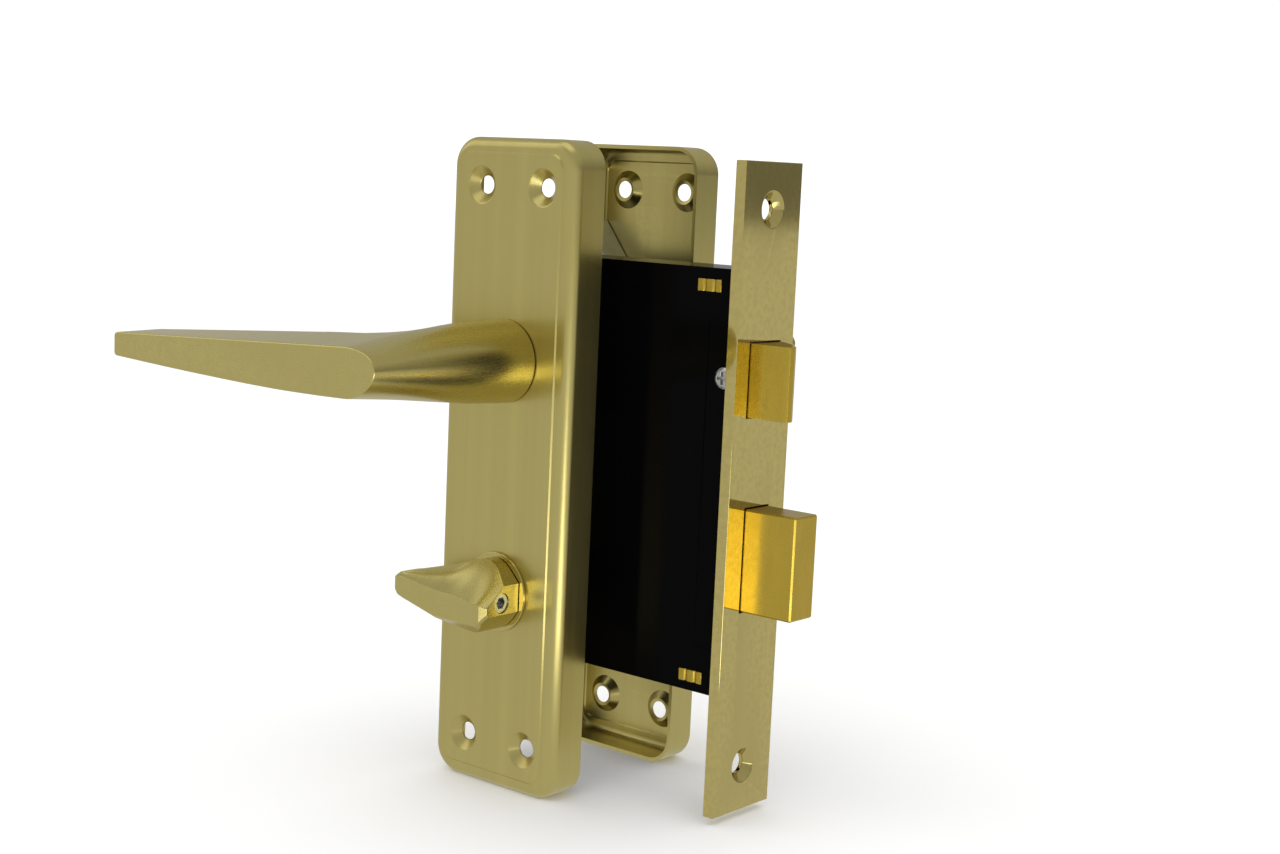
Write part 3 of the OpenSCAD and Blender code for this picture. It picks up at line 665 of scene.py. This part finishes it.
class LOCK_OT_bolts(bpy.types.Operator):
    """Finishes the latch and deadbolt heads"""
    bl_idname = "lock.bolts"
    bl_label = "Bolts"

    def execute(self, context):
        finish = bolt_brass(context.scene.lock_finish)
        add_softened("latch_head", "latch", finish, 0.25 * MM, segments=3)
        add_softened("deadbolt_head", "deadbolt", finish, 0.22 * MM, segments=2)
        return {"FINISHED"}


class LOCK_OT_case(bpy.types.Operator):
    """Lacquers the case and finishes what is fixed through it"""
    bl_idname = "lock.case"
    bl_label = "Case"

    def execute(self, context):
        finish = context.scene.lock_finish
        width = context.scene.lock_sizes.machined_edge
        black = case_lacquer(finish)
        add_softened("case_body", "case", black, width)
        add_softened("case_cover", "case", black, width)
        add_softened("case_pillars", "case", staked_brass(finish), 0.25 * MM)
        add_softened("cover_screw", "case", plated_steel(finish), 0.12 * MM)
        return {"FINISHED"}


class LOCK_OT_works(bpy.types.Operator):
    """Gives the inner works their finishes"""
    bl_idname = "lock.works"
    bl_label = "Inner works"

    def execute(self, context):
        finish = context.scene.lock_finish
        by_slot = {
            "satin_brass": lever_brass(finish),
            "bright_brass": forend_brass(finish),
            "bolt_brass": bolt_brass(finish),
            "black_lacquer": case_lacquer(finish),
            "zinc_steel": plated_steel(finish),
            "spring_steel": spring_steel(finish),
            "cast_zinc": cast_zinc(finish),
            "bearing_nylon": bearing_nylon(finish),
        }
        for part in frame["nodes"].values():
            for slot in part.material_slots:
                slot.material = by_slot[slot.material.name.split(".")[0]]
        return {"FINISHED"}


# ---------------------------------------------------------------- materials

def add_node(tree, kind, inputs=None, **settings):
    """Adds a node; each input is a value or the socket that feeds it."""
    made = tree.nodes.new(kind)
    for name, value in settings.items():
        setattr(made, name, value)
    for name, value in (inputs or {}).items():
        if isinstance(value, bpy.types.NodeSocket):
            tree.links.new(value, made.inputs[name])
        else:
            made.inputs[name].default_value = value
    return made


def new_group(name, sockets):
    """An empty node group with (direction, socket type, name, default) sockets."""
    group = bpy.data.node_groups.new(name, "ShaderNodeTree")
    for way, kind, label, default in sockets:
        socket = group.interface.new_socket(name=label, in_out=way, socket_type=kind)
        if default is not None:
            socket.default_value = default
    return group, group.nodes.new("NodeGroupInput").outputs, group.nodes.new("NodeGroupOutput")


def brushed_grain():
    """Fine and broad streaks, long along the vector's third axis."""
    if "Brushed grain" in bpy.data.node_groups:
        return bpy.data.node_groups["Brushed grain"]
    group, given, out = new_group("Brushed grain", (
        ("INPUT", "NodeSocketVector", "Vector", None),
        ("INPUT", "NodeSocketFloat", "Fine", 3000.0),
        ("INPUT", "NodeSocketFloat", "Stretch", 0.02),
        ("OUTPUT", "NodeSocketFloat", "Streak", None),
        ("OUTPUT", "NodeSocketFloat", "Band", None)))
    squeeze = add_node(group, "ShaderNodeCombineXYZ", {"X": 1.0, "Y": 1.0, "Z": given["Stretch"]})
    along = add_node(group, "ShaderNodeVectorMath",
                     {0: given["Vector"], 1: squeeze.outputs[0]}, operation="MULTIPLY")
    fine = add_node(group, "ShaderNodeTexNoise", {
        "Vector": along.outputs[0], "Scale": given["Fine"], "Detail": 3.0, "Roughness": 0.6})
    tenth = add_node(group, "ShaderNodeMath", {0: given["Fine"], 1: 0.12}, operation="MULTIPLY")
    broad = add_node(group, "ShaderNodeTexNoise", {
        "Vector": along.outputs[0], "Scale": tenth.outputs[0], "Detail": 4.0, "Roughness": 0.55})
    group.links.new(fine.outputs["Fac"], out.inputs["Streak"])
    band = add_node(group, "ShaderNodeMapRange", {
        "Value": broad.outputs["Fac"], "From Min": 0.32, "From Max": 0.68})
    group.links.new(band.outputs[0], out.inputs["Band"])
    return group


def handling_marks():
    """Soft smudges and small pits left by handling and tumbling."""
    if "Handling marks" in bpy.data.node_groups:
        return bpy.data.node_groups["Handling marks"]
    group, given, out = new_group("Handling marks", (
        ("INPUT", "NodeSocketVector", "Vector", None),
        ("INPUT", "NodeSocketFloat", "Size", 60.0),
        ("OUTPUT", "NodeSocketFloat", "Smudge", None),
        ("OUTPUT", "NodeSocketFloat", "Pits", None)))
    cloud = add_node(group, "ShaderNodeTexNoise", {
        "Vector": given["Vector"], "Scale": given["Size"], "Detail": 5.0, "Roughness": 0.6,
        "Distortion": 0.4})
    smudge = add_node(group, "ShaderNodeMapRange", {
        "Value": cloud.outputs["Fac"], "From Min": 0.38, "From Max": 0.66})
    group.links.new(smudge.outputs[0], out.inputs["Smudge"])
    many = add_node(group, "ShaderNodeMath", {0: given["Size"], 1: 30.0}, operation="MULTIPLY")
    cells = add_node(group, "ShaderNodeTexVoronoi", {
        "Vector": given["Vector"], "Scale": many.outputs[0], "Randomness": 1.0})
    pits = add_node(group, "ShaderNodeMapRange", {
        "Value": cells.outputs["Distance"], "From Min": 0.03, "From Max": 0.12,
        "To Min": 1.0, "To Max": 0.0})
    group.links.new(pits.outputs[0], out.inputs["Pits"])
    return group


def edge_wear_and_highlight():
    """1 along rubbed outer edges, broken up by noise: the mask by which metal() lightens the
    colour, partly for rubbed metal and partly as a painted highlight.
    """
    if "Edge wear and painted highlight" in bpy.data.node_groups:
        return bpy.data.node_groups["Edge wear and painted highlight"]
    group, given, out = new_group("Edge wear and painted highlight", (
        ("INPUT", "NodeSocketVector", "Vector", None),
        ("INPUT", "NodeSocketFloat", "Start", 0.52),
        ("OUTPUT", "NodeSocketFloat", "Wear", None)))
    geometry = add_node(group, "ShaderNodeNewGeometry")
    full = add_node(group, "ShaderNodeMath", {0: given["Start"], 1: 0.08}, operation="ADD")
    edge = add_node(group, "ShaderNodeMapRange", {
        "Value": geometry.outputs["Pointiness"], "From Min": given["Start"],
        "From Max": full.outputs[0]})
    broken = add_node(group, "ShaderNodeTexNoise", {
        "Vector": given["Vector"], "Scale": 700.0, "Detail": 3.0})
    rough = add_node(group, "ShaderNodeMapRange", {
        "Value": broken.outputs["Fac"], "From Min": 0.35, "From Max": 0.6})
    wear = add_node(group, "ShaderNodeMath", {0: edge.outputs[0], 1: rough.outputs[0]},
                    operation="MULTIPLY")
    group.links.new(wear.outputs[0], out.inputs["Wear"])
    return group


def mixed(tree, factor, low, high):
    """A colour between low and high."""
    made = add_node(tree, "ShaderNodeMix", data_type="RGBA")
    for index, value in ((0, factor), (6, low), (7, high)):
        if isinstance(value, bpy.types.NodeSocket):
            tree.links.new(value, made.inputs[index])
        else:
            made.inputs[index].default_value = value
    return made.outputs[2]


def ranged(tree, value, low, high):
    return add_node(tree, "ShaderNodeMapRange", {
        "Value": value, "To Min": low, "To Max": high}).outputs[0]


def shade(colour, share):
    return tuple(channel * share for channel in colour) + (1.0,)


def metal(name, colour, rough, grain=(3000.0, 0.02), turn=(0, 0, 0), depth=0.15, dark=0.86,
          smudge=0.05, marks=60.0, anisotropic=0.0, pits=0.0, wear=0.0):
    """A metal with brushed streaks, smudges, pits, and edges lightened partly for rubbing and
    partly as a painted highlight.
    """
    if name in bpy.data.materials:
        return bpy.data.materials[name]
    material = bpy.data.materials.new(name)
    material.use_nodes = True
    tree = material.node_tree
    shader = tree.nodes["Principled BSDF"]
    shader.inputs["Metallic"].default_value = 1.0
    shader.inputs["Anisotropic"].default_value = anisotropic
    place = add_node(tree, "ShaderNodeTexCoord").outputs["Object"]
    along = add_node(tree, "ShaderNodeMapping", {"Vector": place, "Rotation": turn}).outputs[0]
    streaks = add_node(tree, "ShaderNodeGroup", node_tree=brushed_grain())
    tree.links.new(along, streaks.inputs["Vector"])
    streaks.inputs["Fine"].default_value, streaks.inputs["Stretch"].default_value = grain
    handled = add_node(tree, "ShaderNodeGroup", node_tree=handling_marks())
    tree.links.new(place, handled.inputs["Vector"])
    handled.inputs["Size"].default_value = marks
    worn_and_lit = add_node(tree, "ShaderNodeGroup", node_tree=edge_wear_and_highlight())
    tree.links.new(place, worn_and_lit.inputs["Vector"])
    base = mixed(tree, streaks.outputs["Band"], shade(colour, dark), shade(colour, 1.0))
    base = mixed(tree, ranged(tree, handled.outputs["Smudge"], 0.0, 0.2), base,
                 shade(colour, 0.86))
    # painted highlight: along rubbed edges the colour is lightened to 1.25 times, partly rubbed
    # metal and partly a bright edge line painted in place of a reflection
    base = mixed(tree, ranged(tree, worn_and_lit.outputs["Wear"], 0.0, wear), base, shade(colour, 1.25))
    tree.links.new(base, shader.inputs["Base Color"])
    spread = ranged(tree, streaks.outputs["Streak"], rough * 0.8, rough * 1.2)
    soft = add_node(tree, "ShaderNodeMath", {
        0: handled.outputs["Smudge"], 1: smudge, 2: spread}, operation="MULTIPLY_ADD")
    tree.links.new(soft.outputs[0], shader.inputs["Roughness"])
    height = add_node(tree, "ShaderNodeMath", {
        0: handled.outputs["Pits"], 1: -pits, 2: streaks.outputs["Streak"]},
        operation="MULTIPLY_ADD")
    bump = add_node(tree, "ShaderNodeBump", {
        "Height": height.outputs[0], "Strength": depth, "Distance": 0.00002})
    tree.links.new(bump.outputs[0], shader.inputs["Normal"])
    if anisotropic:
        tangent = add_node(tree, "ShaderNodeTangent", direction_type="RADIAL", axis="Z")
        tree.links.new(tangent.outputs[0], shader.inputs["Tangent"])
    return material


def plate_brass(finish):
    return metal("Plate brass", finish.brass, 0.3, grain=(2600.0, 0.006), depth=0.25,
                 dark=0.94, smudge=0.01, marks=25.0, anisotropic=0.6, wear=0.3)


def lever_brass(finish):
    return metal("Lever brass", finish.brass, 0.27, grain=(3200.0, 0.05),
                 turn=(math.pi / 2, 0, 0), depth=0.05, dark=0.97, smudge=0.012, pits=0.04, wear=0.2)


def forend_brass(finish):
    return metal("Forend brass", finish.bright, 0.07, grain=(1800.0, 0.02), depth=0.03,
                 dark=0.98, smudge=0.012, marks=30.0, wear=0.5)


def bolt_brass(finish):
    return metal("Bolt brass", finish.bolt, 0.24, grain=(2200.0, 0.3), depth=0.25,
                 dark=0.9, pits=0.5, marks=110.0, wear=0.3)


def staked_brass(finish):
    return metal("Staked brass", finish.bolt, 0.3, grain=(2500.0, 1.0), depth=1.0,
                 dark=0.8, pits=1.0, marks=200.0)


def plated_steel(finish):
    return metal("Plated steel", finish.steel, 0.22, grain=(2600.0, 0.5), depth=0.2,
                 dark=0.85, marks=90.0, wear=0.4)


def spring_steel(finish):
    return metal("Spring steel", shade(finish.steel, 0.75)[:3], 0.28, grain=(4000.0, 0.3),
                 depth=0.2, dark=0.8)


def cast_zinc(finish):
    return metal("Cast zinc", shade(finish.steel, 1.05)[:3], 0.42, grain=(1500.0, 1.0),
                 depth=0.9, dark=0.8, pits=1.0, marks=120.0)


def case_lacquer(finish):
    name = "Black lacquer"
    if name in bpy.data.materials:
        return bpy.data.materials[name]
    material = bpy.data.materials.new(name)
    material.use_nodes = True
    tree = material.node_tree
    shader = tree.nodes["Principled BSDF"]
    shader.inputs["Specular IOR Level"].default_value = 0.03
    place = add_node(tree, "ShaderNodeTexCoord").outputs["Object"]
    handled = add_node(tree, "ShaderNodeGroup", node_tree=handling_marks())
    tree.links.new(place, handled.inputs["Vector"])
    dust = ranged(tree, handled.outputs["Pits"], 0.0, 0.01)
    base = mixed(tree, dust, shade(finish.lacquer, 1.0), (0.2, 0.2, 0.19, 1.0))
    tree.links.new(base, shader.inputs["Base Color"])
    tree.links.new(ranged(tree, handled.outputs["Smudge"], 0.14, 0.17), shader.inputs["Roughness"])
    peel = add_node(tree, "ShaderNodeTexNoise", {"Vector": place, "Scale": 900.0, "Detail": 2.0})
    bump = add_node(tree, "ShaderNodeBump", {
        "Height": peel.outputs["Fac"], "Strength": 0.05, "Distance": 0.00003})
    tree.links.new(bump.outputs[0], shader.inputs["Normal"])
    return material


def bearing_nylon(finish):
    name = "Bearing nylon"
    if name in bpy.data.materials:
        return bpy.data.materials[name]
    material = bpy.data.materials.new(name)
    material.use_nodes = True
    tree = material.node_tree
    shader = tree.nodes["Principled BSDF"]
    shader.inputs["Subsurface Weight"].default_value = 0.1
    place = add_node(tree, "ShaderNodeTexCoord").outputs["Object"]
    handled = add_node(tree, "ShaderNodeGroup", node_tree=handling_marks())
    tree.links.new(place, handled.inputs["Vector"])
    base = mixed(tree, handled.outputs["Smudge"], shade(finish.nylon, 1.0),
                 shade(finish.nylon, 0.85))
    tree.links.new(base, shader.inputs["Base Color"])
    tree.links.new(ranged(tree, handled.outputs["Smudge"], 0.4, 0.55), shader.inputs["Roughness"])
    return material


# ---------------------------------------------------------------- stage

# name, size, power, then azimuth, elevation and distance
SOFTBOXES = (("Overhead softbox", 0.9, 1.4, (-20, 72, 1.1)),
             ("Left softbox", 0.7, 0.9, (-60, 30, 1.2)))
LOW_AZIMUTH = 47
LOW_DISTANCE = 0.42
LOW_HEIGHT = 0.002
LOW_SIZE = (0.16, 0.5)
LOW_POWER = 0.7
FLOOR_RADIUS = 6.0
FLOOR_WHITE = 0.9
STUDIO_WHITE = 1.16
# greys that only mirror rays see
TABLE_GREY = 0.6
NEAR_WALL, FAR_WALL, CEILING = 0.58, 0.2, 0.45
FAR_SIDE = (0.64, 0.77, 0.0)


def add_area(name, size, power, place, aim, colour=(1, 1, 1), size_y=None):
    light = bpy.data.lights.new(name, "AREA")
    light.energy = power
    light.color = colour
    light.shape = "RECTANGLE"
    light.size = size
    light.size_y = size_y or size
    lamp = bpy.data.objects.new(name, light)
    lamp.location = place
    lamp.rotation_mode = "QUATERNION"
    lamp.rotation_quaternion = (Vector(aim) - Vector(place)).to_track_quat("-Z", "Y")
    bpy.context.scene.collection.objects.link(lamp)
    return lamp


def towards(a, e):
    """Unit vector at an azimuth from -Y and an elevation, both in radians."""
    return Vector((math.sin(a) * math.cos(e), -math.cos(a) * math.cos(e), math.sin(e)))


def around(azimuth, elevation, distance, aim):
    return Vector(aim) + towards(math.radians(azimuth), math.radians(elevation)) * distance


def grey(value):
    return (value, value, value, 1.0)


class LOCK_OT_stage(bpy.types.Operator):
    """Sets the floor, the lights, the surroundings and the camera"""
    bl_idname = "lock.stage"
    bl_label = "Stage"

    def execute(self, context):
        scene = context.scene
        stage = scene.lock_stage
        scene.view_settings.view_transform = "Standard"
        self.add_floor(scene)
        self.add_surroundings(scene)
        aim = Vector(stage.aim)
        for name, size, power, place in SOFTBOXES:
            add_area(name, size, power, around(*place, aim), aim)
        low = around(LOW_AZIMUTH, 0, LOW_DISTANCE, (aim.x, aim.y, CAD_BOX[0].z + LOW_HEIGHT))
        glow = add_area("Low reflector", LOW_SIZE[0], LOW_POWER, low, low + Vector((0, 0, 1)),
                        size_y=LOW_SIZE[1])
        glow.rotation_quaternion = (
            Matrix.Rotation(math.radians(LOW_AZIMUTH), 3, "Z").to_quaternion()
            @ Matrix.Rotation(math.pi, 3, "X").to_quaternion())
        glow.visible_camera = False
        self.add_camera(scene, stage)
        return {"FINISHED"}

    def add_floor(self, scene):
        bm = bmesh.new()
        bmesh.ops.create_circle(bm, cap_ends=True, radius=FLOOR_RADIUS, segments=64)
        mesh = bpy.data.meshes.new("floor")
        bm.to_mesh(mesh)
        bm.free()
        floor = bpy.data.objects.new("floor", mesh)
        floor.location.z = CAD_BOX[0].z
        scene.collection.objects.link(floor)
        material = bpy.data.materials.new("Stage white")
        material.use_nodes = True
        tree = material.node_tree
        shader = tree.nodes["Principled BSDF"]
        shader.inputs["Base Color"].default_value = grey(FLOOR_WHITE)
        shader.inputs["Roughness"].default_value = 0.9
        shader.inputs["Specular IOR Level"].default_value = 0.1
        # what the metal mirrors is an evenly lit table
        table = add_node(tree, "ShaderNodeEmission", {"Color": grey(TABLE_GREY)})
        ray = add_node(tree, "ShaderNodeLightPath")
        both = add_node(tree, "ShaderNodeMixShader", {
            0: ray.outputs["Is Glossy Ray"], 1: shader.outputs[0], 2: table.outputs[0]})
        tree.links.new(both.outputs[0], tree.nodes["Material Output"].inputs["Surface"])
        mesh.materials.append(material)

    def add_surroundings(self, scene):
        world = bpy.data.worlds.new("Studio")
        scene.world = world
        world.use_nodes = True
        tree = world.node_tree
        background = tree.nodes["Background"]
        ray = add_node(tree, "ShaderNodeLightPath")
        direction = add_node(tree, "ShaderNodeTexCoord").outputs["Generated"]
        split = add_node(tree, "ShaderNodeSeparateXYZ", {0: direction})
        rise = add_node(tree, "ShaderNodeMapRange", {
            "Value": split.outputs["Z"], "From Min": 0.0, "From Max": 0.6})
        facing = add_node(tree, "ShaderNodeVectorMath", {
            0: direction, 1: FAR_SIDE}, operation="DOT_PRODUCT")
        far_side = add_node(tree, "ShaderNodeMapRange", {
            "Value": facing.outputs["Value"], "From Min": -0.3, "From Max": 0.7})
        wall = mixed(tree, far_side.outputs[0], grey(NEAR_WALL), grey(FAR_WALL))
        sky = mixed(tree, rise.outputs[0], wall, grey(CEILING))
        colour = mixed(tree, ray.outputs["Is Glossy Ray"], grey(STUDIO_WHITE), sky)
        tree.links.new(colour, background.inputs["Color"])
        background.inputs["Strength"].default_value = 1.0

    def add_camera(self, scene, stage):
        back = towards(stage.azimuth, stage.elevation)
        right = Vector((math.cos(stage.azimuth), math.sin(stage.azimuth), 0))
        up = back.cross(right)
        turned = Matrix.Rotation(stage.roll, 3, back)
        right, up = turned @ right, turned @ up
        lens = bpy.data.cameras.new("camera")
        lens.lens = stage.lens
        lens.sensor_width = 36
        lens.clip_start, lens.clip_end = 0.01, 50
        camera = bpy.data.objects.new("camera", lens)
        camera.matrix_world = Matrix.Translation(Vector(stage.aim) + back * stage.distance) @ (
            Matrix((right, up, back)).transposed().to_4x4())
        scene.collection.objects.link(camera)
        scene.camera = camera


# ---------------------------------------------------------------- add-on

STEPS = (LOCK_OT_stage, LOCK_OT_works, LOCK_OT_backplates, LOCK_OT_levers, LOCK_OT_turn,
         LOCK_OT_forend, LOCK_OT_bolts, LOCK_OT_case)


class VIEW3D_PT_lock(bpy.types.Panel):
    """Lists the lock's pieces and their sizes"""
    bl_idname = "VIEW3D_PT_lock"
    bl_label = "Mortise lock"
    bl_space_type = "VIEW_3D"
    bl_region_type = "UI"
    bl_category = "Lock"

    def draw(self, context):
        for step in STEPS:
            self.layout.operator(step.bl_idname)
        for group in (context.scene.lock_sizes, context.scene.lock_finish,
                      context.scene.lock_stage):
            for name in group.__annotations__:
                self.layout.prop(group, name)


GROUPS = (("lock_sizes", LockSizes), ("lock_finish", LockFinish), ("lock_stage", LockStage))


def register():
    for name, group in GROUPS:
        bpy.utils.register_class(group)
        setattr(bpy.types.Scene, name, bpy.props.PointerProperty(type=group))
    for step in STEPS:
        bpy.utils.register_class(step)
    bpy.utils.register_class(VIEW3D_PT_lock)


def unregister():
    bpy.utils.unregister_class(VIEW3D_PT_lock)
    for step in reversed(STEPS):
        bpy.utils.unregister_class(step)
    for name, group in reversed(GROUPS):
        delattr(bpy.types.Scene, name)
        bpy.utils.unregister_class(group)


def main():
    register()
    for step in STEPS:
        family, name = step.bl_idname.split(".")
        getattr(getattr(bpy.ops, family), name)()
    bpy.context.view_layer.update()


if __name__ == "__main__":
    main()
